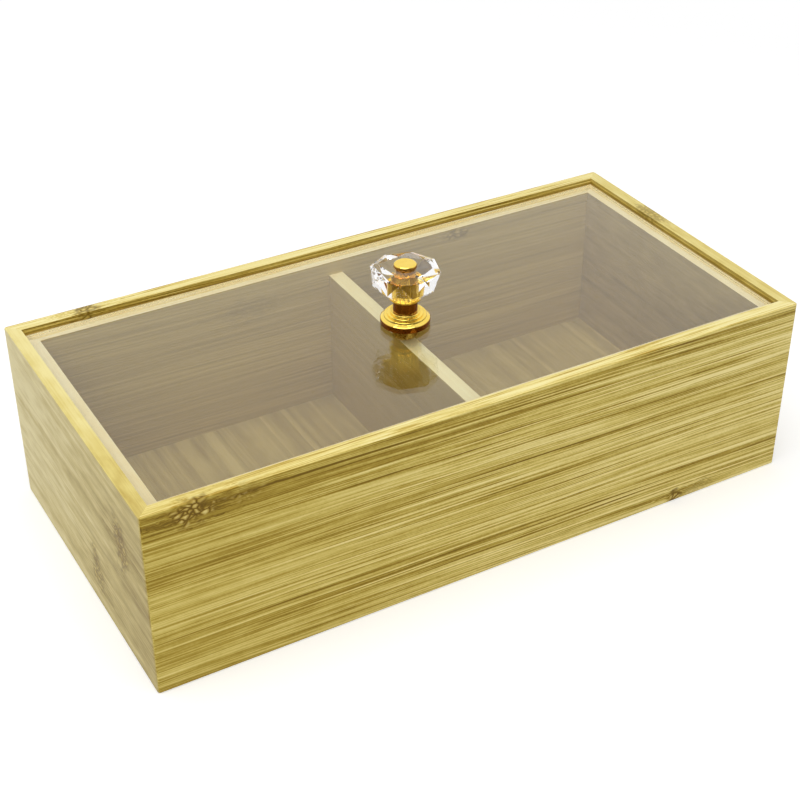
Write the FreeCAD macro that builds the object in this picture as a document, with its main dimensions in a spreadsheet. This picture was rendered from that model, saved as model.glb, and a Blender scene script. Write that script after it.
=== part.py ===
import FreeCAD, Part
import math
import os

import Sketcher

# A low bamboo box with two compartments. Four mitred wall boards carry a base panel in
# a groove and a divider in two dados. A clear panel drops into the rebate round the rim
# and lifts off by a turned brass knob with a faceted crystal.
# Frame: millimetres, origin at the middle of the footprint, X along the box, front at -Y.

# Driving dimensions, in millimetres unless a name says otherwise.
SIZES = {
    # walls, base and divider
    "box_length": 210.0,
    "box_width": 104.5,
    "box_height": 58.5,
    "wall_thickness": 8.0,
    "corner_radius": 0.8,
    "edge_radius": 0.35,
    "lip_width": 4.0,
    "rebate_depth": 4.0,
    "floor_height": 5.0,
    "base_thickness": 3.0,
    "groove_depth": 3.0,
    "base_gap": 0.3,
    "divider_thickness": 5.0,
    "dado_depth": 2.0,
    # lid panel
    "lid_thickness": 2.0,
    "lid_gap": 0.5,
    "lid_corner_radius": 1.0,
    "lid_chamfer": 0.2,
    "lid_bore": 4.5,
    # turned base of the knob
    "rosette_diameter": 14.9,
    "rosette_band": 1.8,
    "band_chamfer": 0.2,
    "shoulder_width": 1.1,
    "shoulder_rise": 0.5,
    "step_rise": 0.6,
    "step_chamfer": 0.2,
    "neck_land": 0.35,
    "neck_length": 3.3,
    # cup that the crystal stands in
    "cup_floor": 0.8,
    "cup_lip": 0.4,
    "cup_rim": 0.17,
    "cup_clearance": 0.1,
    # crystal: diameters across the corners of its octagons
    "foot_wall": 0.75,
    "waist_diameter": 19.4,
    "girdle_diameter": 20.9,
    "table_diameter": 16.0,
    "pavilion_height": 4.7,
    "band_height": 4.65,
    "crown_height": 1.05,
    "crystal_turn": 5.0,
    # cap screw: button, column through the crystal, threaded tail
    "column_diameter": 6.6,
    "column_clearance": 0.05,
    "button_overhang": 0.15,
    "button_height": 0.95,
    "button_round": 0.75,
    # screw and washer under the lid
    "screw_diameter": 4.0,
    "thread_clearance": 0.05,
    "screw_reach": 3.2,
    "thread_end_gap": 0.6,
    "head_diameter": 8.0,
    "head_height": 3.1,
    "head_round": 1.4,
    "head_room": 0.6,
    "recess_width": 0.9,
    "recess_span": 4.4,
    "recess_depth": 1.8,
    "washer_diameter": 9.0,
    "washer_thickness": 0.8,
    "washer_bore": 4.3,
}

# The crystal's octagons, and the steps turned on the rosette.
FACETS = 8
STEPS = 3

# Levels and radii that several pieces share, as expressions on the sheet. Levels of the
# knob's own pieces are counted from the lid's top face.
LEDGE = "(sizes.box_height - sizes.rebate_depth)"
BASE_UNDERSIDE = "(sizes.floor_height - sizes.base_thickness)"
DIVIDER_TOP = f"({LEDGE} - sizes.washer_thickness - sizes.head_height - sizes.head_room)"
LID_TOP = f"({LEDGE} + sizes.lid_thickness)"
STEPS_FOOT = "(sizes.rosette_band + sizes.shoulder_rise)"
NECK_TOP = f"({STEPS_FOOT} + {STEPS} * sizes.step_rise + sizes.neck_length)"
CUP_SEAT = f"({NECK_TOP} + sizes.cup_floor)"
CRYSTAL_HEIGHT = "(sizes.pavilion_height + sizes.band_height + sizes.crown_height)"
TABLE = f"({CUP_SEAT} + {CRYSTAL_HEIGHT})"
COLUMN_RADIUS = "(sizes.column_diameter / 2)"
COLUMN_BORE_RADIUS = f"({COLUMN_RADIUS} + sizes.column_clearance)"
NECK_RADIUS = f"({COLUMN_RADIUS} + sizes.neck_land)"
FOOT_RADIUS = f"({COLUMN_BORE_RADIUS} + sizes.foot_wall)"
THREAD_RADIUS = "(sizes.screw_diameter / 2 - sizes.thread_clearance)"

# How far a cutting outline reaches past the stock that it cuts.
OVERCUT = 2


def new_sheet(doc):
    sheet = doc.addObject("Spreadsheet::Sheet", "sizes")
    for row, (name, value) in enumerate(SIZES.items(), start=1):
        sheet.set(f"A{row}", name)
        sheet.set(f"B{row}", str(value))
        sheet.setAlias(f"B{row}", name)
    doc.recompute()


def new_body(doc, label, x="0", y="0", z="0"):
    """A body at a position given by expressions."""
    body = doc.addObject("PartDesign::Body", label)
    body.Label = label
    for axis, expression in zip("xyz", (x, y, z)):
        body.setExpression(f"Placement.Base.{axis}", expression)
    return body


def origin_feature(body, role):
    return next(item for item in body.Origin.OriginFeatures if item.Role == role)


def new_sketch(body, name, plane):
    sketch = body.newObject("Sketcher::SketchObject", f"{body.Name}_{name}")
    sketch.AttachmentSupport = [(origin_feature(body, plane), "")]
    sketch.MapMode = "FlatFace"
    return sketch


def bind(sketch, constraint, expression):
    """Add a dimension to the sketch and drive it by an expression."""
    index = sketch.addConstraint(constraint)
    sketch.setExpression(f"Constraints[{index}]", str(expression))


def pin_point(sketch, geometry, vertex, corner, place):
    """Dimension a point of the sketch across and up from the sketch's origin."""
    bind(sketch, Sketcher.Constraint("DistanceX", -1, 1, geometry, vertex, place.x), corner[0])
    bind(sketch, Sketcher.Constraint("DistanceY", -1, 1, geometry, vertex, place.y), corner[1])


def add_circle(sketch, diameter):
    """A circle about the sketch's origin."""
    radius = sketch.evalExpression(diameter) / 2
    circle = Part.Circle(FreeCAD.Vector(0, 0, 0), FreeCAD.Vector(0, 0, 1), radius)
    index = sketch.addGeometry(circle)
    sketch.addConstraint(Sketcher.Constraint("Coincident", index, 3, -1, 1))
    bind(sketch, Sketcher.Constraint("Diameter", index, 2 * radius), diameter)


def add_round(sketch, before, after, corner, place, entry, leave):
    """Join two sides by an arc tangent to both, in place of the sharp corner at place."""
    radius = sketch.evalExpression(corner[2])
    inward = (entry + leave - place * 2).normalize()
    centre = place + inward * math.hypot(radius, (entry - place).Length)
    first, last = entry - centre, leave - centre
    entry_vertex, leave_vertex = 1, 2
    if first.cross(last).z < 0:
        first, last = last, first
        entry_vertex, leave_vertex = 2, 1
    circle = Part.Circle(centre, FreeCAD.Vector(0, 0, 1), radius)
    arc = sketch.addGeometry(Part.ArcOfCircle(circle, math.atan2(first.y, first.x), math.atan2(last.y, last.x)))
    sketch.addConstraint(Sketcher.Constraint("Tangent", before, 2, arc, entry_vertex))
    sketch.addConstraint(Sketcher.Constraint("Tangent", arc, leave_vertex, after, 1))
    bind(sketch, Sketcher.Constraint("Radius", arc, radius), corner[2])
    point = sketch.addGeometry(Part.Point(place), True)
    sketch.addConstraint(Sketcher.Constraint("PointOnObject", point, 1, before))
    sketch.addConstraint(Sketcher.Constraint("PointOnObject", point, 1, after))
    pin_point(sketch, point, 1, corner, place)


def add_loop(sketch, corners):
    """A closed loop of straight sides. A corner is (across, up) or (across, up, radius)."""
    read = sketch.evalExpression
    places = [FreeCAD.Vector(read(str(corner[0])), read(str(corner[1])), 0) for corner in corners]
    entries, leaves = [], []
    for i, (corner, place) in enumerate(zip(corners, places)):
        back = (places[i - 1] - place).normalize()
        ahead = (places[(i + 1) % len(places)] - place).normalize()
        radius = read(corner[2]) if len(corner) > 2 else 0
        reach = radius / math.tan(back.getAngle(ahead) / 2)
        entries.append(place + back * reach)
        leaves.append(place + ahead * reach)
    sides = [sketch.addGeometry(Part.LineSegment(leave, entry))
             for leave, entry in zip(leaves, entries[1:] + entries[:1])]
    for i, (corner, place) in enumerate(zip(corners, places)):
        before, after = sides[i - 1], sides[i]
        if len(corner) > 2:
            add_round(sketch, before, after, corner, place, entries[i], leaves[i])
        else:
            sketch.addConstraint(Sketcher.Constraint("Coincident", before, 2, after, 1))
            pin_point(sketch, after, 1, corner, place)


def rectangle(left, bottom, right, top, *radius):
    """The four corners of an upright rectangle, rounded where a radius is given."""
    return [(x, y, *radius) for x, y in ((left, bottom), (right, bottom), (right, top), (left, top))]


def pad(body, sketch, length):
    feature = body.newObject("PartDesign::Pad", f"{sketch.Name}_pad")
    feature.Profile = sketch
    feature.setExpression("Length", length)
    body.Document.recompute()


def revolve(body, corners):
    """Turn a profile of (radius, height) corners about the body's Z axis."""
    sketch = new_sketch(body, "profile", "XZ_Plane")
    add_loop(sketch, corners)
    feature = body.newObject("PartDesign::Revolution", f"{body.Name}_turned")
    feature.Profile = sketch
    feature.ReferenceAxis = (sketch, ["V_Axis"])
    feature.Angle = 360
    body.Document.recompute()


def cut(body, sketch, depth=None, reverse=False):
    """Cut a sketch out of the body: right through it both ways, or to a depth."""
    volume = body.Shape.Volume
    feature = body.newObject("PartDesign::Pocket", f"{sketch.Name}_cut")
    feature.Profile = sketch
    feature.Reversed = reverse
    if depth is None:
        feature.Type = "ThroughAll"
        feature.SideType = "Symmetric"
    else:
        feature.setExpression("Length", depth)
    body.Document.recompute()
    if body.Shape.Volume > volume - 1e-3:
        raise RuntimeError(f"{feature.Name} removed nothing")
    return feature


def ease_edges(body, kind, property_name, amount, is_wanted):
    """Fillet or chamfer every edge whose end points pass the test."""
    tip = body.Tip
    names = [f"Edge{i}" for i, edge in enumerate(tip.Shape.Edges, start=1)
             if is_wanted([vertex.Point for vertex in edge.Vertexes])]
    feature = body.newObject(f"PartDesign::{kind}", f"{body.Name}_{kind.lower()}")
    feature.Base = (tip, names)
    feature.setExpression(property_name, amount)
    body.Document.recompute()


def near(value, target):
    return abs(value - target) < 1e-4


# ---- the box ---------------------------------------------------------------------------

def make_wall(doc, label, length, turn, x="0", y="0", has_dado=False):
    """A mitred wall board with its rebate, base groove and dado. Its length lies along its
    own X, with the outer face at y = 0 and the inner face at y = wall_thickness."""
    body = new_body(doc, label, x, y)
    body.Placement.Rotation = FreeCAD.Rotation(FreeCAD.Vector(0, 0, 1), turn)
    half = f"{length} / 2"
    past_inner = f"sizes.wall_thickness + {OVERCUT}"

    board = new_sketch(body, "board", "XY_Plane")
    add_loop(board, [(f"-{half}", "0", "sizes.corner_radius"), (half, "0", "sizes.corner_radius"),
                     (half, "sizes.wall_thickness"), (f"-{half}", "sizes.wall_thickness")])
    pad(body, board, "sizes.box_height")

    mitres = new_sketch(body, "mitres", "XY_Plane")
    for sign in ("", "-"):
        end = f"{sign}({half} + {OVERCUT})"
        heel = f"{sign}({half} - sizes.wall_thickness - {OVERCUT})"
        add_loop(mitres, [(end, -OVERCUT), (end, past_inner), (heel, past_inner)])
    cut(body, mitres)

    moulding = new_sketch(body, "moulding", "YZ_Plane")
    add_loop(moulding, rectangle("sizes.lip_width", LEDGE, past_inner, f"sizes.box_height + {OVERCUT}"))
    add_loop(moulding, rectangle("sizes.wall_thickness - sizes.groove_depth", BASE_UNDERSIDE,
                                 past_inner, "sizes.floor_height"))
    cut(body, moulding)

    if has_dado:
        dado = new_sketch(body, "dado", "XY_Plane")
        dado.setExpression("AttachmentOffset.Base.z", "sizes.floor_height")
        add_loop(dado, rectangle("-sizes.divider_thickness / 2", "sizes.wall_thickness - sizes.dado_depth",
                                 "sizes.divider_thickness / 2", past_inner))
        cut(body, dado, f"{DIVIDER_TOP} - sizes.floor_height", reverse=True)

    end_x = body.evalExpression(half)
    top = body.evalExpression("sizes.box_height")
    ledge = body.evalExpression(LEDGE)
    inner = body.evalExpression("sizes.wall_thickness")
    outer = body.evalExpression("sizes.corner_radius")

    def is_handled(ends):
        """Rim, ledge and outer foot edges, but not the ends of the boards."""
        if all(near(abs(point.x) + point.y, end_x) for point in ends):
            return False
        on_rim = all(near(point.z, top) for point in ends)
        on_ledge = all(near(point.z, ledge) and near(point.y, inner) for point in ends)
        on_foot = all(near(point.z, 0) and point.y < outer for point in ends)
        return on_rim or on_ledge or on_foot

    ease_edges(body, "Fillet", "Radius", "sizes.edge_radius", is_handled)


def make_walls(doc):
    half_length, half_width = "sizes.box_length / 2", "sizes.box_width / 2"
    make_wall(doc, "front_wall", "sizes.box_length", 0, y=f"-{half_width}", has_dado=True)
    make_wall(doc, "back_wall", "sizes.box_length", 180, y=half_width, has_dado=True)
    make_wall(doc, "left_wall", "sizes.box_width", -90, x=f"-{half_length}")
    make_wall(doc, "right_wall", "sizes.box_width", 90, x=half_length)


def make_base_panel(doc):
    """The bottom panel, held in the grooves of the four walls."""
    body = new_body(doc, "base_panel", z=BASE_UNDERSIDE)
    inset = "(sizes.wall_thickness - sizes.groove_depth + sizes.base_gap)"
    right, back = f"sizes.box_length / 2 - {inset}", f"sizes.box_width / 2 - {inset}"
    outline = new_sketch(body, "outline", "XY_Plane")
    add_loop(outline, rectangle(f"-({right})", f"-({back})", right, back))
    pad(body, outline, "sizes.base_thickness")


def make_divider(doc):
    """The fixed board between the compartments, below the knob's screw head."""
    body = new_body(doc, "divider", z="sizes.floor_height")
    right = "sizes.divider_thickness / 2"
    back = "sizes.box_width / 2 - sizes.wall_thickness + sizes.dado_depth"
    outline = new_sketch(body, "outline", "XY_Plane")
    add_loop(outline, rectangle(f"-{right}", f"-({back})", right, back))
    pad(body, outline, f"{DIVIDER_TOP} - sizes.floor_height")

    top = body.evalExpression(f"{DIVIDER_TOP} - sizes.floor_height")

    def is_long_top_edge(ends):
        return all(near(point.z, top) for point in ends) and near(ends[0].x, ends[1].x)

    ease_edges(body, "Fillet", "Radius", "sizes.edge_radius", is_long_top_edge)


# ---- the lid and its knob ----------------------------------------------------------------

def make_lid_panel(doc):
    """The clear panel that rests on the ledge, with a hole for the knob's screw."""
    body = new_body(doc, "lid_panel", z=LEDGE)
    inset = "(sizes.lip_width + sizes.lid_gap)"
    right, back = f"sizes.box_length / 2 - {inset}", f"sizes.box_width / 2 - {inset}"
    outline = new_sketch(body, "outline", "XY_Plane")
    add_loop(outline, rectangle(f"-({right})", f"-({back})", right, back, "sizes.lid_corner_radius"))
    add_circle(outline, "sizes.lid_bore")
    pad(body, outline, "sizes.lid_thickness")

    def is_level(ends):
        return all(near(point.z, ends[0].z) for point in ends)

    ease_edges(body, "Chamfer", "Size", "sizes.lid_chamfer", is_level)


def make_knob_base(doc):
    """The turned rosette and neck, bored for the two screws that meet in it."""
    body = new_body(doc, "knob_base", z=LID_TOP)
    bore, rim = "sizes.screw_diameter / 2", "sizes.rosette_diameter / 2"
    steps_radius = f"({rim} - sizes.shoulder_width)"
    corners = [(bore, "0"), (rim, "0"), (rim, "sizes.rosette_band - sizes.band_chamfer"),
               (f"{rim} - sizes.band_chamfer", "sizes.rosette_band"), (steps_radius, STEPS_FOOT)]
    for step in range(STEPS):
        riser = f"({steps_radius} - ({steps_radius} - {NECK_RADIUS}) * {step} / {STEPS})"
        tread_end = f"({steps_radius} - ({steps_radius} - {NECK_RADIUS}) * {step + 1} / {STEPS})"
        tread = f"({STEPS_FOOT} + {step + 1} * sizes.step_rise)"
        corners += [(riser, f"{tread} - sizes.step_chamfer"), (f"{riser} - sizes.step_chamfer", tread),
                    (tread_end, tread)]
    revolve(body, corners + [(NECK_RADIUS, NECK_TOP), (bore, NECK_TOP)])


def make_knob_cup(doc):
    """The flared cup. Its lip follows the slope of the crystal's lower facets."""
    body = new_body(doc, "knob_cup", z=LID_TOP)
    seat_radius = f"({FOOT_RADIUS} + sizes.cup_clearance)"
    facet_run = f"(sizes.waist_diameter / 2 - {FOOT_RADIUS}) / sizes.pavilion_height"
    lip_radius = f"({seat_radius} + sizes.cup_lip * {facet_run})"
    rim_radius = f"({lip_radius} + sizes.cup_rim)"
    lip_top = f"{CUP_SEAT} + sizes.cup_lip"
    revolve(body, [(COLUMN_BORE_RADIUS, NECK_TOP), (NECK_RADIUS, NECK_TOP), (rim_radius, CUP_SEAT),
                   (rim_radius, lip_top), (lip_radius, lip_top), (seat_radius, CUP_SEAT),
                   (COLUMN_BORE_RADIUS, CUP_SEAT)])


def cut_facets(body, name, corners, turn):
    """Cut one facet profile, then repeat it round the axis."""
    sketch = new_sketch(body, name, "XZ_Plane")
    sketch.AttachmentOffset = FreeCAD.Placement(
        FreeCAD.Vector(0, 0, 0), FreeCAD.Rotation(FreeCAD.Vector(0, 1, 0), turn))
    add_loop(sketch, corners)
    facet = cut(body, sketch)
    pattern = body.newObject("PartDesign::PolarPattern", f"{facet.Name}_round")
    pattern.Originals = [facet]
    pattern.Axis = (origin_feature(body, "Z_Axis"), [""])
    pattern.Angle = 360
    pattern.Occurrences = FACETS
    body.Tip = pattern
    body.Document.recompute()


def make_knob_crystal(doc):
    """The crystal, cut from a round blank. Table and girdle are octagons with their corners
    in line; waist and foot are turned half a facet, so triangles join girdle and waist."""
    body = new_body(doc, "knob_crystal", z=f"{LID_TOP} + {CUP_SEAT}")
    turned = body.evalExpression("sizes.crystal_turn")
    body.Placement.Rotation = FreeCAD.Rotation(FreeCAD.Vector(0, 0, 1), turned)

    half_facet = 180 / FACETS
    flat = math.cos(math.radians(half_facet))
    waist = "sizes.pavilion_height"
    girdle = f"({waist} + sizes.band_height)"
    past = f"sizes.girdle_diameter / 2 + {OVERCUT}"
    above = f"{CRYSTAL_HEIGHT} + {OVERCUT}"

    blank = new_sketch(body, "blank", "XY_Plane")
    add_circle(blank, f"sizes.girdle_diameter + {OVERCUT} / 2")
    pad(body, blank, CRYSTAL_HEIGHT)

    table_flat = f"sizes.table_diameter / 2 * {flat}"
    crown_and_band = [
        (table_flat, CRYSTAL_HEIGHT), (f"sizes.girdle_diameter / 2 * {flat}", girdle),
        ("sizes.waist_diameter / 2", waist), (past, waist), (past, above), (table_flat, above)]
    cut_facets(body, "crown_and_band", crown_and_band, half_facet)

    foot_flat = f"{FOOT_RADIUS} * {flat}"
    band_and_pavilion = [
        ("sizes.girdle_diameter / 2", girdle), (f"sizes.waist_diameter / 2 * {flat}", waist),
        (foot_flat, "0"), (foot_flat, -OVERCUT), (past, -OVERCUT), (past, girdle)]
    cut_facets(body, "band_and_pavilion", band_and_pavilion, 0)

    bore = new_sketch(body, "bore", "XY_Plane")
    add_circle(bore, f"2 * {COLUMN_BORE_RADIUS}")
    cut(body, bore)


def make_knob_cap(doc):
    """The cap screw: a button on the table, a column through crystal and cup, and a tail
    that threads into the base."""
    body = new_body(doc, "knob_cap", z=LID_TOP)
    button = f"({COLUMN_RADIUS} + sizes.button_overhang)"
    button_top = f"({TABLE} + sizes.button_height)"
    tail_end = "(sizes.screw_reach + sizes.thread_end_gap)"
    revolve(body, [("0", tail_end), (THREAD_RADIUS, tail_end), (THREAD_RADIUS, NECK_TOP),
                   (COLUMN_RADIUS, NECK_TOP), (COLUMN_RADIUS, TABLE), (button, TABLE),
                   (button, button_top, "sizes.button_round"), ("0", button_top)])


def make_lid_screw(doc):
    """The pan-head screw, with a cross recess. Its levels count from the lid's underside."""
    body = new_body(doc, "lid_screw", z=LEDGE)
    head = "sizes.head_diameter / 2"
    head_foot = "(-sizes.washer_thickness - sizes.head_height)"
    tip = "(sizes.lid_thickness + sizes.screw_reach)"
    revolve(body, [("0", head_foot), (head, head_foot, "sizes.head_round"),
                   (head, "-sizes.washer_thickness"), (THREAD_RADIUS, "-sizes.washer_thickness"),
                   (THREAD_RADIUS, tip), ("0", tip)])

    half_span, half_width = "sizes.recess_span / 2", "sizes.recess_width / 2"
    for name, across, up in (("slot", half_span, half_width), ("cross_slot", half_width, half_span)):
        slot = new_sketch(body, name, "XY_Plane")
        slot.setExpression("AttachmentOffset.Base.z", head_foot)
        add_loop(slot, rectangle(f"-{across}", f"-{up}", across, up))
        cut(body, slot, "sizes.recess_depth", reverse=True)


def make_screw_washer(doc):
    body = new_body(doc, "screw_washer", z=f"{LEDGE} - sizes.washer_thickness")
    ring = new_sketch(body, "ring", "XY_Plane")
    add_circle(ring, "sizes.washer_diameter")
    add_circle(ring, "sizes.washer_bore")
    pad(body, ring, "sizes.washer_thickness")


# ---- build, test, write ----------------------------------------------------------------

def check(doc):
    for item in doc.Objects:
        if {"Invalid", "Error"} & set(item.State):
            raise RuntimeError(f"{item.Label} failed: {item.State}")
    for body in bodies(doc):
        if body.Shape.isNull() or not body.Shape.isValid() or len(body.Shape.Solids) != 1:
            raise RuntimeError(f"{body.Label} is not one valid solid")


def bodies(doc):
    return [item for item in doc.Objects if item.TypeId == "PartDesign::Body"]


def main():
    doc = FreeCAD.newDocument("tea_box")
    new_sheet(doc)
    make_walls(doc)
    make_base_panel(doc)
    make_divider(doc)
    make_lid_panel(doc)
    make_knob_base(doc)
    make_knob_cup(doc)
    make_knob_crystal(doc)
    make_knob_cap(doc)
    make_lid_screw(doc)
    make_screw_washer(doc)
    doc.recompute()
    check(doc)
    os.makedirs("parts", exist_ok=True)
    for body in bodies(doc):
        body.Shape.exportStep(f"parts/{body.Label}.step")
        print(f"{body.Label}: {len(body.Shape.Faces)} faces, {body.Shape.Volume:.1f} mm3")


main()
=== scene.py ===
import math
from collections import namedtuple

import bmesh
import bpy
from mathutils import Matrix, Vector


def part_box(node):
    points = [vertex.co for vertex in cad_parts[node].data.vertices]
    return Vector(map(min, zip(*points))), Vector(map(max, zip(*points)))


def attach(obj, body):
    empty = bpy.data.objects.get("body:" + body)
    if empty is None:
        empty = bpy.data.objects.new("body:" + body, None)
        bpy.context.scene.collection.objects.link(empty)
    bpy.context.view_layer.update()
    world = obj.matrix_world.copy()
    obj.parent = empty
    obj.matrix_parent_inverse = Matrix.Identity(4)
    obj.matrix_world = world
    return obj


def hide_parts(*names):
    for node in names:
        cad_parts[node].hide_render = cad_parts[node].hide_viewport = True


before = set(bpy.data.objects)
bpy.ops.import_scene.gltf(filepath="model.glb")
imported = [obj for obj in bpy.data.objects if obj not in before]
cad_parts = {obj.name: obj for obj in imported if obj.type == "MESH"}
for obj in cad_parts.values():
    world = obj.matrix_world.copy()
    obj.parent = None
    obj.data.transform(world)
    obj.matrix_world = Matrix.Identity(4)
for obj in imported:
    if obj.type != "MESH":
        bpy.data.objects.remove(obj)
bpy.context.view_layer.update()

# Looks of a bamboo box with a clear lift-off lid and a crystal knob. Geometry is in
# metres. Patterns in the materials are in millimetres of the row frame.
MM = 0.001
WIDTH_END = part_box("back_wall")[1].y / MM
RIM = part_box("front_wall")[1].z / MM
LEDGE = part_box("lid_panel")[0].z / MM
LID_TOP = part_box("lid_panel")[1].z / MM


def srgb(red, green, blue):
    """Eight-bit sRGB as the linear colour that shaders use."""
    def linear(value):
        value /= 255
        return value / 12.92 if value <= 0.04045 else ((value + 0.055) / 1.055) ** 2.4
    return linear(red), linear(green), linear(blue), 1.0


WHITE = srgb(255, 255, 255)


# ---- shader graphs -------------------------------------------------------------------------

class Wire:
    """An output socket that arithmetic can be written with."""

    def __init__(self, graph, socket):
        self.graph = graph
        self.socket = socket

    def __add__(self, other):
        return self.graph.math("ADD", self, other)

    def __sub__(self, other):
        return self.graph.math("SUBTRACT", self, other)

    def __rsub__(self, other):
        return self.graph.math("SUBTRACT", other, self)

    def __mul__(self, other):
        return self.graph.math("MULTIPLY", self, other)

    def __truediv__(self, other):
        return self.graph.math("DIVIDE", self, other)


class Graph:
    """The node tree of a material or of the world."""

    def __init__(self, owner, output="OutputMaterial"):
        self.owner = owner
        owner.use_nodes = True
        self.tree = owner.node_tree
        self.tree.nodes.clear()
        self.output = self.tree.nodes.new(f"ShaderNode{output}")

    def node(self, kind, inputs=None, output=0, **settings):
        node = self.tree.nodes.new(f"ShaderNode{kind}")
        for name, value in settings.items():
            setattr(node, name, value)
        for name, value in (inputs or {}).items():
            self.feed(node.inputs[name], value)
        return Wire(self, node.outputs[output])

    def feed(self, socket, value):
        if isinstance(value, Wire):
            self.tree.links.new(value.socket, socket)
        else:
            socket.default_value = value

    def math(self, operation, *values):
        return self.node("Math", dict(enumerate(values)), operation=operation)

    def coordinates(self, kind):
        """A texture coordinate as x, y and z."""
        split = self.node("SeparateXYZ", {0: self.node("TexCoord", output=kind)})
        return [Wire(self, part) for part in split.socket.node.outputs]

    def place(self):
        """Position in the row frame, in millimetres."""
        return [part * (1 / MM) for part in self.coordinates("Object")]

    def vector(self, x, y, z):
        return self.node("CombineXYZ", {0: x, 1: y, 2: z})

    def noise(self, where, scale=1.0, detail=2.0):
        return self.node("TexNoise", {"Vector": where, "Scale": scale, "Detail": detail})

    def smooth(self, value, low, high, bottom=0.0, top=1.0):
        """A smooth step from bottom at low to top at high."""
        return self.node("MapRange", {0: value, 1: low, 2: high, 3: bottom, 4: top},
                         interpolation_type="SMOOTHSTEP")

    def fall(self, value, low, high):
        """1 below low, 0 above high, and a smooth step between them."""
        return self.smooth(value, high, low)

    def between(self, value, starts, ends):
        """1 from the range in which it starts to the range in which it ends, 0 elsewhere."""
        return self.smooth(value, *starts) * self.fall(value, *ends)

    def line(self, value, middle, inner, outer):
        """1 within inner of the middle, and 0 further than outer from it."""
        return self.fall(self.math("ABSOLUTE", value - middle), inner, outer)

    def distance(self, *parts):
        squares = [part * part for part in parts]
        return self.math("SQRT", sum(squares[1:], squares[0]))

    def mix(self, share, first, second):
        node = self.tree.nodes.new("ShaderNodeMix")
        node.data_type = "RGBA"
        self.feed(node.inputs[0], share)
        self.feed(node.inputs[6], first)
        self.feed(node.inputs[7], second)
        return Wire(self, node.outputs[2])

    def ramp(self, value, stops):
        """A colour for each (position, colour) stop, blended between them."""
        ramp = self.node("ValToRGB", {0: value})
        elements = ramp.socket.node.color_ramp.elements
        while len(elements) < len(stops):
            elements.new(0.5)
        for element, (position, colour) in zip(elements, stops):
            element.position = position
            element.color = colour
        return ramp

    def bump(self, height, distance):
        return self.node("Bump", {"Height": height, "Distance": distance * MM, "Strength": 1.0})

    def principled(self, **inputs):
        names = {name: name.replace("_", " ").title() for name in inputs}
        names.update(ior="IOR", transmission="Transmission Weight", specular="Specular IOR Level")
        return self.node("BsdfPrincipled", {names[name]: value for name, value in inputs.items()})

    def finish(self, shader):
        self.tree.links.new(shader.socket, self.output.inputs["Surface"])
        return self.owner


def new_material(name):
    return Graph(bpy.data.materials.new(name))


# ---- bamboo's grain ------------------------------------------------------------------------

Fibre = namedtuple("Fibre", "length width detail shift", defaults=(2.0, 0.0))
Mark = namedtuple("Mark", "centre reach strength")
Weights = namedtuple("Weights", "broad bands fine hair strips mottle")
Streaks = namedtuple("Streaks", "broad bands fine hair dark_rows")

# Length along the grain and width across it are in millimetres. detail is the noise's, and
# shift keeps one pattern from following another.
SWAY = Fibre(90, 16, detail=1.0)
CURL = Fibre(4, 3)
BROAD = Fibre(190, 7.0)
BANDS = Fibre(130, 2.3, shift=3.1)
FINE = Fibre(110, 0.75, detail=3.0, shift=7.7)
HAIR = Fibre(55, 0.33, detail=3.0, shift=11.3)
SPECKS = Fibre(0.9, 0.5)
MOTTLE = Fibre(8, 2.4, detail=3.0)
ROW_DRIFT = Fibre(150, 3.0)
ROW_BREAKS = Fibre(60, 1.5, shift=5.3)
RAGGED_EDGE = Fibre(4.0, 2.6)
STAINED_FIBRES = Fibre(12, 0.9)
SWIRL = Fibre(4.5, 3.5, detail=1.0)

# How far the fibres sway and curl, and the spread of the shifts from strip to strip.
SWAY_REACH = 1.6
CURL_REACH = 5
STRIP_SHIFT = 900

# Rows of dark pores: their pitch, how they wander, how much of each is dark, and the levels
# of noise between which they break off.
ROW_PITCH = 1.5
ROW_WANDER = 30
DARK_PART = (0.3, 1.0)
BREAK_LEVELS = (-0.04, 0.16)

# Tone is the position on a palette: the shares of specks and rows among the hairs, the
# middle, the change in a stain, and the stretch of a board over which streaks calm down.
SPECK_SHARE = 0.14
ROW_SHARE = 0.15
MIDDLE_TONE = 0.52
STAIN_TONE = -0.21
CALM_STRETCH = (-100, 10)

# Joints of the culm, measured in their own reach: where the scales and the stains fade out,
# how ragged they are, and how much further the stains reach along and across.
SCALES_FADE = (0.5, 1.15)
SCALES_RAGGED = 1.8
STAINS_FADE = (0.2, 1.0)
STAINS_RAGGED = 4.0
STAINS_STRETCH = (2.6, 1.1, 1.0)

# Scales in a joint: length and width, how the swirl pushes them about, and their edges' rise.
SCALE_SIZE = (2.0, 1.3)
SCALE_SWIRL = (1.6, 2.0)
SCALE_RISE = (0.0, 0.3)

# Lacquer: gloss, roughness over the range of the finest streaks, and their relief.
LACQUER_SPECULAR = 0.16
LACQUER_ROUGHNESS = (0.52, 0.38)
FINEST_RANGE = (-0.4, 0.4)
FINE_RELIEF = 0.6
HAIR_RELIEF = 0.3
ROW_RELIEF = 0.1
GRAIN_RELIEF = 0.09


def fibres(graph, grain, kind):
    """Streaks of a kind along the grain, spread about 0."""
    along, across, depth = grain
    where = graph.vector(along / kind.length + kind.shift, across / kind.width, depth / kind.width)
    return graph.noise(where, detail=kind.detail) - 0.5


def reach_of(graph, grain, centre, reach):
    """0 at the centre of an ellipsoid, 1 on its surface."""
    return graph.distance(*((axis - middle) / half for axis, middle, half in zip(grain, centre, reach)))


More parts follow.
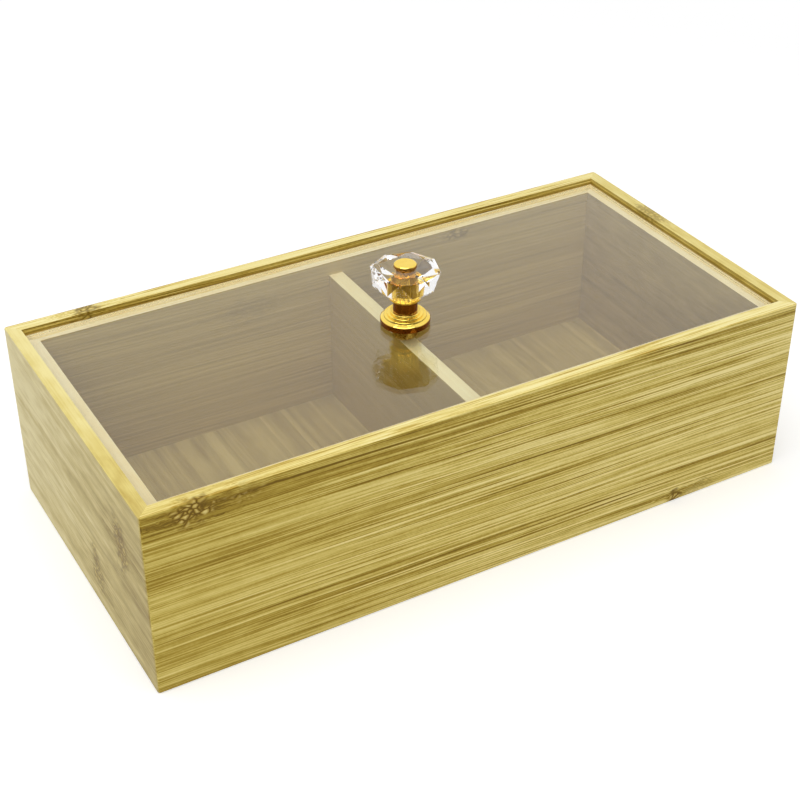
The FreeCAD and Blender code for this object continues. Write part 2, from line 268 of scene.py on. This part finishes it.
def node_marks(graph, grain, marks):
    """Where the joints of the culm show: their scaly middles, and the stained fibres that run
    on from them. Both are up to 1 inside a mark and 0 away from every mark."""
    if not marks:
        return 0.0, 0.0
    ragged = fibres(graph, grain, RAGGED_EDGE) * SCALES_RAGGED
    scales, stains = 0.0, 0.0
    for centre, reach, strength in marks:
        near = reach_of(graph, grain, centre, reach) + ragged
        scale = graph.fall(near, *SCALES_FADE) * strength
        wide = [half * stretch for half, stretch in zip(reach, STAINS_STRETCH)]
        streaks = fibres(graph, grain, STAINED_FIBRES._replace(shift=centre[0])) * STAINS_RAGGED
        stain = graph.fall(reach_of(graph, grain, centre, wide) + streaks, *STAINS_FADE) * strength
        scales = graph.math("MAXIMUM", scale, scales)
        stains = graph.math("MAXIMUM", stain, stains)
    return scales, stains


def strip_tones(graph, across, strip):
    """A tone for each of the strips that a board is glued up from, spread about 0."""
    row = graph.math("FLOOR", across / strip)
    return graph.node("TexWhiteNoise", {"W": row}, output="Value", noise_dimensions="1D") - 0.5


def bent_grain(graph, board, strip_tone, stains, tilt):
    """The board's coordinates as the fibres run: tilted, swaying, curled round the joints of
    the culm, and shifted from strip to strip."""
    along, across, depth = board
    sway = fibres(graph, board, SWAY) * SWAY_REACH
    curl = fibres(graph, board, CURL) * stains * CURL_REACH
    bent = across + along * math.tan(math.radians(tilt)) + sway + curl
    return along + strip_tone * STRIP_SHIFT, bent, depth


def make_streaks(graph, grain):
    """Streaks of four widths, and rows of dark pores, broken here and there."""
    wander = fibres(graph, grain, ROW_DRIFT) * ROW_WANDER
    rows = graph.math("SINE", grain[1] * (math.tau / ROW_PITCH) + wander)
    broken = graph.smooth(fibres(graph, grain, ROW_BREAKS), *BREAK_LEVELS)
    return Streaks(*(fibres(graph, grain, kind) for kind in (BROAD, BANDS, FINE, HAIR)),
                   dark_rows=graph.smooth(rows, *DARK_PART) * broken)


def weigh(graph, board, streaks, weights):
    """The streaks together, with specks among the hairs."""
    speck = fibres(graph, board, SPECKS)
    smallest = streaks.hair + speck * SPECK_SHARE - streaks.dark_rows * ROW_SHARE
    return (streaks.broad * weights.broad + streaks.bands * weights.bands
            + streaks.fine * weights.fine + smallest * weights.hair)


def joint_scales(graph, board):
    """Colour and height of the small scales in the joints of the culm."""
    along, across, depth = board
    length, width = SCALE_SIZE
    swirl = fibres(graph, board, SWIRL)
    where = graph.vector(along / length + swirl * SCALE_SWIRL[0],
                         across / width + swirl * SCALE_SWIRL[1], depth / width)
    edge = graph.node("TexVoronoi", {"Vector": where, "Scale": 1.0}, output="Distance",
                      feature="DISTANCE_TO_EDGE")
    return graph.ramp(edge, SCALE_COLOURS), graph.smooth(edge, *SCALE_RISE)


def bamboo(name, axes, palette, layers, weights, marks=(), tilt=0.0, strip=8.36, painted_light_drift=0.0,
           calm_end=1.0, extra=None):
    """Lacquered bamboo, glued up from strips. axes names the frame's axes along, across and
    through the board. layers holds (mask, palette): each covers those before it. drift is a
    painted light gradient: the change of tone in each 100 mm. The streaks fade to calm_end
    of their strength towards the board's end at -X or -Y. extra is a change of tone of the
    board's own."""
    graph = new_material(name)
    place = dict(zip("xyz", graph.place()))
    normal = dict(zip("xyz", graph.coordinates("Normal")))
    board = [place[axis] for axis in axes]
    along = board[0]
    scales, stains = node_marks(graph, board, marks)
    strip_tone = strip_tones(graph, board[1], strip)
    streaks = make_streaks(graph, bent_grain(graph, board, strip_tone, stains, tilt))

    calm = graph.smooth(along, *CALM_STRETCH, calm_end, 1.0)
    # The drift term paints a light gradient along the board.
    tone = (weigh(graph, board, streaks, weights) * calm + strip_tone * weights.strips
            + fibres(graph, board, MOTTLE) * weights.mottle + along * (painted_light_drift / 100) + MIDDLE_TONE)
    height = (streaks.fine * FINE_RELIEF + streaks.hair * HAIR_RELIEF
              - streaks.dark_rows * ROW_RELIEF)
    if marks:
        tone = tone + stains * STAIN_TONE
    if extra:
        tone = tone + extra(graph, place)

    colour = graph.ramp(tone, palette)
    for mask, covering in layers:
        colour = graph.mix(mask(graph, place, normal), colour, graph.ramp(tone, covering))
    if marks:
        scaly, rise = joint_scales(graph, board)
        colour = graph.mix(scales, colour, scaly)
        height = height + rise * scales
    rough = graph.smooth(streaks.fine + streaks.hair, *FINEST_RANGE, *LACQUER_ROUGHNESS)
    return graph.finish(graph.principled(base_color=colour, roughness=rough,
                                         specular=LACQUER_SPECULAR,
                                         normal=graph.bump(height, GRAIN_RELIEF)))


# ---- bamboo's colours ----------------------------------------------------------------------

SCALE_COLOURS = [(0.0, srgb(98, 72, 4)), (0.09, srgb(120, 92, 14)), (0.22, srgb(176, 148, 64)),
                 (0.45, srgb(218, 198, 122))]
EDGE_GRAIN = [(0.0, srgb(108, 82, 10)), (0.18, srgb(142, 115, 28)), (0.34, srgb(172, 148, 58)),
              (0.50, srgb(202, 181, 93)), (0.64, srgb(218, 199, 117)), (0.84, srgb(236, 219, 150))]
FLAT_GRAIN = [(0.0, srgb(140, 116, 60)), (0.15, srgb(164, 142, 76)), (0.50, srgb(205, 187, 121)),
              (0.80, srgb(230, 216, 160))]
RIM_GRAIN = [(0.16, srgb(188, 156, 64)), (0.36, srgb(224, 202, 114)), (0.52, srgb(240, 222, 143)),
             (0.84, srgb(250, 238, 174))]
END_RIM_GRAIN = [(0.16, srgb(190, 162, 76)), (0.50, srgb(225, 206, 124)), (0.84, srgb(242, 228, 158))]
LIP_GRAIN = [(0.20, srgb(140, 108, 22)), (0.42, srgb(200, 172, 74)), (0.56, srgb(232, 208, 108)),
             (0.82, srgb(250, 232, 150))]
# The lip lines' darker colours; the lower line is painted shade.
LIP_LINE_GRAIN = [(0.20, srgb(116, 86, 14)), (0.80, srgb(188, 158, 70))]
LEDGE_GRAIN = [(0.20, srgb(248, 223, 162)), (0.80, srgb(255, 240, 200))]
DIVIDER_TOP_GRAIN = [(0.20, srgb(240, 218, 158)), (0.80, srgb(252, 238, 186))]
INNER_EDGE_GRAIN = [(0.10, srgb(177, 151, 78)), (0.50, srgb(194, 168, 91)),
                    (0.90, srgb(209, 185, 108))]
INNER_FLAT_GRAIN = [(0.20, srgb(155, 130, 68)), (0.50, srgb(178, 153, 87)),
                    (0.80, srgb(199, 176, 108))]

# The cosine between a face and an axis at which the face starts to count as turned along
# the axis, and at which it counts in full.
TURNED = (0.5, 0.85)

# Heights at which the ledge's colour ends and the lip's starts, and of the dark lines on the
# lip: just above the lid's top face, and under the rim. Below the lip's start, beside the lid's
# edge, the lip takes the ledge's pale colour as a painted highlight of the acrylic's cut edge.
# The line just above the lid is painted shade where the lid's edge meets the lip. A line is
# full within the first distance from its middle, and ends at the second.
LEDGE_ENDS = (LEDGE + 0.5, LEDGE + 1)
LIP_STARTS = LID_TOP - 0.3
LIP_FADE = 0.3
LOW_LINE = LID_TOP + 0.25
LOW_LINE_HALF = (0.3, 0.65)
HIGH_LINE = RIM - 0.45
HIGH_LINE_HALF = (0.2, 0.5)
HIGH_LINE_STRENGTH = 0.6

# The topmost strip of the long walls, and a strip of the floor: where they are, and their
# change of tone.
TOP_STRIP_STARTS = (RIM - 8.6, RIM - 8.1)
OUTER_FACE_STARTS = (WIDTH_END - 0.8, WIDTH_END - 0.4)
TOP_STRIP_TONE = -0.19
PALE_STRIP_MIDDLE = -47.5
PALE_STRIP_HALF = (1.0, 1.6)
PALE_STRIP_TONE = 0.16


def facing(axis, sign):
    """Faces turned along an axis of the frame: the inside of a wall and of its lip."""
    def mask(graph, place, normal):
        return graph.smooth(normal[axis] * sign, *TURNED)
    return mask


facing_up = facing("z", 1)


def on_ledge(graph, place, normal):
    return facing_up(graph, place, normal) * graph.fall(place["z"], *LEDGE_ENDS)


def lip_above(level, axis, sign):
    """The inner side of a wall's lip, from a level upward."""
    def mask(graph, place, normal):
        above = graph.smooth(place["z"], level, level + LIP_FADE)
        return facing(axis, sign)(graph, place, normal) * above
    return mask


def lip_lines(axis, sign):
    """Dark lines along the inner side of a wall's lip, the upper one fainter. The lower one is
    painted shade where the lid's edge comes up to the lip.
    """
    def mask(graph, place, normal):
        low = graph.line(place["z"], LOW_LINE, *LOW_LINE_HALF)
        high = graph.line(place["z"], HIGH_LINE, *HIGH_LINE_HALF) * HIGH_LINE_STRENGTH
        return facing(axis, sign)(graph, place, normal) * graph.math("MAXIMUM", low, high)
    return mask


def wall_layers(inside, rim, axis, sign):
    """What covers a wall's outside colours: its inside, its lip beside the lid and above it,
    the lines along the lip, the rim and the ledge. The lip beside the lid takes the ledge's
    pale colour as a painted highlight of the acrylic's cut edge, and the lower lip line is
    painted shade."""
    return [(facing(axis, sign), inside),
            # The lip beside the lid: the ledge's pale colour, a painted highlight of the acrylic's
            # edge.
            (lip_above(LEDGE, axis, sign), LEDGE_GRAIN),
            (lip_above(LIP_STARTS, axis, sign), LIP_GRAIN),
            (lip_lines(axis, sign), LIP_LINE_GRAIN),
            (facing_up, rim),
            (on_ledge, LEDGE_GRAIN)]


def dark_top_strip(graph, place):
    """The topmost strip of the long walls is darker on its face."""
    on_face = graph.smooth(graph.math("ABSOLUTE", place["y"]), *OUTER_FACE_STARTS)
    return graph.smooth(place["z"], *TOP_STRIP_STARTS) * on_face * TOP_STRIP_TONE


def pale_floor_strip(graph, place):
    """One pale narrow strip in the floor of the left compartment."""
    return graph.line(place["x"], PALE_STRIP_MIDDLE, *PALE_STRIP_HALF) * PALE_STRIP_TONE


# ---- bamboo boards -------------------------------------------------------------------------

EDGE_WEIGHTS = Weights(broad=0.36, bands=0.42, fine=1.25, hair=1.7, strips=0.12, mottle=0.2)
INNER_WEIGHTS = Weights(broad=0.75, bands=0.6, fine=0.3, hair=0.15, strips=0.12, mottle=0.4)
END_WEIGHTS = Weights(broad=0.5, bands=0.45, fine=0.3, hair=0.3, strips=0.16, mottle=0.6)
LONG_WALL_TILT = 1.0
END_WALL_STRIP = 19.5
FLOOR_STRIP = 7.4
DIVIDER_STRIP = 16.0

# Joints of the culm. Centre and reach are in millimetres along, across and through a board.
FRONT_MARKS = [Mark((-91, 55.5, -52), (7.0, 4.2, 4.5), 1.0), Mark((-76, 56, -52), (7, 3.0, 3), 0.25),
               Mark((65.5, 1.5, -52), (3.0, 2.6, 3), 1.0), Mark((74, 2, -52), (7, 2.6, 3), 0.3)]
BACK_MARKS = [Mark((-81, 58.5, 50), (4.5, 3, 3), 0.8), Mark((45, 52, 44), (6, 2.5, 1.5), 0.5),
              Mark((-30, 45.5, 44), (11, 5, 1.5), 0.2)]
LEFT_MARKS = [Mark((-35, 38, -105), (4.5, 10, 3), 0.6), Mark((-11, 13, -105), (4.5, 9, 3), 0.6)]
RIGHT_MARKS = [Mark((16, 58.5, 103), (8, 3, 3), 0.5), Mark((-30, 24, 105), (4.5, 9, 3), 0.4)]


def front_bamboo():
    # The tone rising towards +X is a painted light gradient: the front lit more at its right end.
    return bamboo("bamboo_front", "xzy", EDGE_GRAIN, wall_layers(INNER_EDGE_GRAIN, RIM_GRAIN, "y", 1),
                  EDGE_WEIGHTS, FRONT_MARKS, tilt=LONG_WALL_TILT, painted_light_drift=0.08, calm_end=0.5,
                  extra=dark_top_strip)


def back_bamboo():
    return bamboo("bamboo_back", "xzy", EDGE_GRAIN, wall_layers(INNER_EDGE_GRAIN, RIM_GRAIN, "y", -1),
                  EDGE_WEIGHTS, BACK_MARKS, tilt=LONG_WALL_TILT, extra=dark_top_strip)


def left_bamboo():
    # The tone rising towards the back is a painted light gradient: the face lit more at its back end.
    return bamboo("bamboo_left", "yzx", FLAT_GRAIN,
                  wall_layers(INNER_FLAT_GRAIN, END_RIM_GRAIN, "x", 1),
                  END_WEIGHTS, LEFT_MARKS, strip=END_WALL_STRIP, painted_light_drift=0.45)


def right_bamboo():
    return bamboo("bamboo_right", "yzx", FLAT_GRAIN,
                  wall_layers(INNER_FLAT_GRAIN, END_RIM_GRAIN, "x", -1),
                  END_WEIGHTS, RIGHT_MARKS, strip=END_WALL_STRIP)


def floor_bamboo():
    return bamboo("bamboo_floor", "yxz", INNER_FLAT_GRAIN, [], INNER_WEIGHTS, strip=FLOOR_STRIP,
                  extra=pale_floor_strip)


def divider_bamboo():
    return bamboo("bamboo_divider", "yzx", INNER_EDGE_GRAIN, [(facing_up, DIVIDER_TOP_GRAIN)],
                  INNER_WEIGHTS, strip=DIVIDER_STRIP)


# ---- clear pieces and metal ----------------------------------------------------------------

STRAIGHT_LIGHT = srgb(246, 248, 246)
ACRYLIC_TINT = srgb(250, 250, 248)
ACRYLIC_ROUGHNESS = 0.01
ACRYLIC_IOR = 1.49
CRYSTAL_IOR = 1.5

# Clouds vary the metals' colour and roughness over a range of their noise. The turned lines
# on the brass are noise that is stretched round the knob and squeezed along it.
CLOUDS = (0.3, 0.7)
BRASS_CLOUD_SCALE = 0.25
BRIGHT_BRASS = (srgb(248, 212, 94), srgb(252, 222, 110))
# Brown brass that stands in for dark reflections and shade.
PAINTED_DARK_BRASS = srgb(146, 84, 20)
BRASS_ROUGH_CLOUDS = (0.3, 0.75)
BRASS_ROUGHNESS = (0.05, 0.11)
TURNED_STRETCH = 9
TURNED_SQUEEZE = 6
TURNED_RELIEF = 0.004
STEEL_CLOUD_SCALE = 1.2
# A gold colour painted into the steel for the brass foot's reflection over it.
STEEL_PAINTED_GOLD = (srgb(192, 160, 84), srgb(220, 192, 116))
STEEL_ROUGHNESS = (0.24, 0.36)

# On the knob, in millimetres above the lid's top face: the ranges in which each zone of painted
# dark reflection and shade starts and ends.
NECK_STARTS, NECK_ENDS = (4.0, 4.3), (7.3, 7.5)
COLUMN_STARTS, BUTTON_SIDE_ENDS = (8.6, 9.0), (19.15, 19.35)
COLUMN_DARKENS = (13, 17)
COLUMN_PAINTED_SHADE = (0.35, 0.85)
FOOT_RIM_ENDS = (1.6, 1.85)

# The radius at which the foot's standing rim starts.
FOOT_RIM_STARTS = (7.1, 7.35)


def clear_material(name, tint, roughness, ior):
    """Clear plastic or glass. Light from the lamps and from matt faces passes it straight, so
    that it throws no black shadow on what it covers."""
    graph = new_material(name)
    glass = graph.principled(base_color=tint, roughness=roughness, ior=ior, transmission=1.0)
    shadow = graph.node("LightPath", output="Is Shadow Ray")
    diffuse = graph.node("LightPath", output="Is Diffuse Ray")
    straight = graph.node("BsdfTransparent", {"Color": STRAIGHT_LIGHT})
    passes = graph.math("MAXIMUM", shadow, diffuse)
    return graph.finish(graph.node("MixShader", {0: passes, 1: glass, 2: straight}))


def painted_reflection_and_shade(graph, x, y, z):
    """Where the knob's brass is painted brown: painted dark reflections on its neck and the
    foot's standing rim, where they mirror the shaded lid and box, and painted shade on the
    column in the crystal, more so up to the side of the button on it."""
    rise = z - LID_TOP
    neck = graph.between(rise, NECK_STARTS, NECK_ENDS)
    rim = graph.fall(rise, *FOOT_RIM_ENDS) * graph.smooth(graph.distance(x, y), *FOOT_RIM_STARTS)
    column = (graph.between(rise, COLUMN_STARTS, BUTTON_SIDE_ENDS)
              * graph.smooth(rise, *COLUMN_DARKENS, *COLUMN_PAINTED_SHADE))
    return graph.math("MINIMUM", neck + rim + column, 1.0)


def polished_brass():
    graph = new_material("polished_brass")
    x, y, z = graph.place()
    cloud = graph.noise(graph.vector(x, y, z), BRASS_CLOUD_SCALE, detail=3.0)
    turned = graph.noise(graph.vector(x / TURNED_STRETCH, y / TURNED_STRETCH, z * TURNED_SQUEEZE))
    bright = graph.ramp(cloud, list(zip(CLOUDS, BRIGHT_BRASS)))
    # Painted dark reflection and shade: brown brass on the neck, the foot's rim and the column.
    colour = graph.mix(painted_reflection_and_shade(graph, x, y, z), bright, PAINTED_DARK_BRASS)
    rough = graph.smooth(cloud, *BRASS_ROUGH_CLOUDS, *BRASS_ROUGHNESS)
    return graph.finish(graph.principled(base_color=colour, metallic=1.0, roughness=rough,
                                         normal=graph.bump(turned, TURNED_RELIEF)))


def steel_painted_gold():
    """Zinc-plated steel for the knob's screw and washer, coloured gold as a painted reflection of
    the brass foot and the shade around it, where they show through the lid.
    """
    graph = new_material("steel_painted_gold")
    cloud = graph.noise(graph.vector(*graph.place()), STEEL_CLOUD_SCALE, detail=3.0)
    colour = graph.ramp(cloud, list(zip(CLOUDS, STEEL_PAINTED_GOLD)))
    rough = graph.smooth(cloud, *CLOUDS, *STEEL_ROUGHNESS)
    return graph.finish(graph.principled(base_color=colour, metallic=1.0, roughness=rough))


# ---- pieces --------------------------------------------------------------------------------

EASE_WIDTH = 0.06
EASE_ANGLE = 25
WELD_REACH = 0.002
DOUBLES_REACH = 0.001

# The crystal's bore is all that lies this near its axis, and is set to this radius, just
# inside the brass column's face.
BORE_REACH = 3.6
BONDED_RADIUS = 3.27


def dress(node, material):
    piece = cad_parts[node]
    if not piece.material_slots:
        piece.data.materials.append(material)
    for slot in piece.material_slots:
        slot.material = material


def ease(piece):
    """Round a metal piece's edges, and shade it smooth but for its real edges."""
    weld = piece.modifiers.new("weld", "WELD")
    weld.merge_threshold = WELD_REACH * MM
    bevel = piece.modifiers.new("ease", "BEVEL")
    bevel.width = EASE_WIDTH * MM
    bevel.segments = 3
    bevel.limit_method = "ANGLE"
    bevel.angle_limit = math.radians(EASE_ANGLE)
    bevel.use_clamp_overlap = False
    bevel.harden_normals = True


def crystal_mesh():
    """The knob's crystal with its bore a hair inside the brass column, as it is bonded to the
    column and no air shows between them."""
    mesh = bmesh.new()
    mesh.from_mesh(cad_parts["knob_crystal"].data)
    bmesh.ops.remove_doubles(mesh, verts=mesh.verts, dist=DOUBLES_REACH * MM)
    for vertex in mesh.verts:
        radius = math.hypot(vertex.co.x, vertex.co.y)
        if radius < BORE_REACH * MM:
            vertex.co.x *= BONDED_RADIUS * MM / radius
            vertex.co.y *= BONDED_RADIUS * MM / radius
    data = bpy.data.meshes.new("cut_crystal")
    mesh.to_mesh(data)
    mesh.free()
    for face in data.polygons:
        face.use_smooth = False
    return data


def make_crystal():
    data = crystal_mesh()
    data.materials.clear()
    data.materials.append(clear_material("crystal_glass", WHITE, 0.0, CRYSTAL_IOR))
    crystal = bpy.data.objects.new("cut_crystal", data)
    bpy.context.scene.collection.objects.link(crystal)
    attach(crystal, "lid")
    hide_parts("knob_crystal")


def dress_box():
    dress("front_wall", front_bamboo())
    dress("back_wall", back_bamboo())
    dress("left_wall", left_bamboo())
    dress("right_wall", right_bamboo())
    dress("base_panel", floor_bamboo())
    dress("divider", divider_bamboo())


def dress_metal(material, nodes):
    for node in nodes:
        dress(node, material)
        ease(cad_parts[node])


def dress_lid():
    dress("lid_panel",
          clear_material("clear_acrylic", ACRYLIC_TINT, ACRYLIC_ROUGHNESS, ACRYLIC_IOR))
    dress_metal(polished_brass(), ("knob_base", "knob_cup", "knob_cap"))
    # The screw and washer carry a painted gold reflection of the foot.
    dress_metal(steel_painted_gold(), ("lid_screw", "screw_washer"))
    make_crystal()


# ---- studio --------------------------------------------------------------------------------

CAMERA_PLACE = Vector((-200.5, -350.4, 297.4)) * MM
CAMERA_AZIMUTH = -29.552
CAMERA_ELEVATION = 33.668
CAMERA_ROLL = -0.131
FOCAL_LENGTH = 71.51
SENSOR_WIDTH = 36.0

FLOOR_REACH = 6.0
FLOOR_LEVEL = -0.1 * MM
FLOOR_GREY = (0.86, 0.86, 0.86, 1.0)

# The floor's glow where it is seen directly, and the distances from the middle between which
# it grows, in millimetres.
GLOW = (0.3, 0.65)
GLOW_GROWS = (350, 1000)

# The room's light on matt faces, and what metal mirrors of it: a dim front side, with a
# narrow dark gap in its middle that ends below the zenith. ROOM_FRONT is an azimuth of the
# row frame in degrees, and the angles either side of it are in radians.
ROOM_LIGHT = 0.45
ROOM_FRONT = -29.552
DIM_SIDE_ENDS = (1.0, 1.7)
DIM_SIDE_DEPTH = 0.7
GAP_SIDE_ENDS = (0.09, 0.17)
GAP_HEIGHT_ENDS = (0.85, 0.93)
GAP_DEPTH = 0.7

BOUNCES = 24


def make_camera():
    data = bpy.data.cameras.new("camera")
    data.sensor_width = SENSOR_WIDTH
    data.lens = FOCAL_LENGTH
    data.clip_start = 0.01
    data.clip_end = 20.0
    camera = bpy.data.objects.new("camera", data)
    turn = math.radians(CAMERA_AZIMUTH)
    lift = math.radians(CAMERA_ELEVATION)
    back = Vector((math.sin(turn) * math.cos(lift), -math.cos(turn) * math.cos(lift), math.sin(lift)))
    level = Matrix.Rotation(math.radians(CAMERA_ROLL), 3, back)
    camera.rotation_mode = "QUATERNION"
    camera.rotation_quaternion = level.to_quaternion() @ (-back).to_track_quat("-Z", "Y")
    camera.location = CAMERA_PLACE
    bpy.context.scene.collection.objects.link(camera)
    bpy.context.scene.camera = camera


def seen_directly(graph):
    """1 for rays from the camera and for those mirrored or let through by a clear piece."""
    camera, mirrored, passed = (graph.node("LightPath", output=name) for name in
                                ("Is Camera Ray", "Is Glossy Ray", "Is Transmission Ray"))
    return graph.math("MINIMUM", camera + mirrored + passed, 1.0)


def floor_material():
    """Pale, and seen a little brighter away from the box."""
    graph = new_material("pale_floor")
    x, y, _ = graph.place()
    glow = graph.smooth(graph.distance(x, y), *GLOW_GROWS, *GLOW) * seen_directly(graph)
    matt = graph.node("BsdfDiffuse", {"Color": FLOOR_GREY})
    lift = graph.node("Emission", {"Color": WHITE, "Strength": glow})
    return graph.finish(graph.node("AddShader", {0: matt, 1: lift}))


def make_floor():
    """A plane just under the box."""
    ends = ((-1, -1), (1, -1), (1, 1), (-1, 1))
    corners = [(x * FLOOR_REACH, y * FLOOR_REACH, FLOOR_LEVEL) for x, y in ends]
    data = bpy.data.meshes.new("floor")
    data.from_pydata(corners, [], [(0, 1, 2, 3)])
    data.materials.append(floor_material())
    floor = bpy.data.objects.new("floor", data)
    bpy.context.scene.collection.objects.link(floor)


def mirrored_room(graph):
    """How bright the room is in a mirror: dim on the front side, with one narrow dark gap."""
    x, y, z = graph.coordinates("Generated")
    turn = math.radians(ROOM_FRONT)
    ahead = x * math.sin(turn) - y * math.cos(turn)
    aside = x * math.cos(turn) + y * math.sin(turn)
    off = graph.math("ABSOLUTE", graph.math("ARCTAN2", aside, ahead))
    dim_side = graph.fall(off, *DIM_SIDE_ENDS) * DIM_SIDE_DEPTH
    gap = graph.fall(off, *GAP_SIDE_ENDS) * graph.fall(z, *GAP_HEIGHT_ENDS) * GAP_DEPTH
    return (1.0 - dim_side) * (1.0 - gap)


def make_world():
    """A white surrounding, plain for diffuse light and white to the camera."""
    world = bpy.data.worlds.new("studio")
    bpy.context.scene.world = world
    graph = Graph(world, "OutputWorld")
    mirrored = graph.node("LightPath", output="Is Glossy Ray")
    seen = graph.math("MAXIMUM", graph.node("LightPath", output="Is Camera Ray"),
                      graph.node("LightPath", output="Is Transmission Ray"))
    unseen = mirrored * mirrored_room(graph) + (1.0 - mirrored) * ROOM_LIGHT
    graph.finish(graph.node("Background", {"Color": WHITE,
                                           "Strength": seen + (1.0 - seen) * unseen}))


def make_lamp(name, place, size, radiance, mirrored=True):
    """A square soft box aimed at the object, given by the brightness of its face."""
    data = bpy.data.lights.new(name, "AREA")
    data.shape = "SQUARE"
    data.size = size
    data.energy = radiance * math.pi * size * size
    lamp = bpy.data.objects.new(name, data)
    lamp.location = place
    lamp.visible_glossy = mirrored
    lamp.visible_transmission = mirrored
    lamp.rotation_mode = "QUATERNION"
    lamp.rotation_quaternion = (-Vector(place)).to_track_quat("-Z", "Y")
    bpy.context.scene.collection.objects.link(lamp)


def make_studio():
    make_camera()
    make_floor()
    make_world()
    make_lamp("overhead_lamp", (-0.2, -0.1, 1.1), size=0.9, radiance=2.6)
    make_lamp("front_lamp", (-0.5, -1.1, 0.7), size=0.6, radiance=3.2, mirrored=False)
    for kind in ("max_bounces", "glossy_bounces", "transmission_bounces"):
        setattr(bpy.context.scene.cycles, kind, BOUNCES)
    bpy.context.scene.view_settings.view_transform = "Standard"


make_studio()
dress_box()
dress_lid()
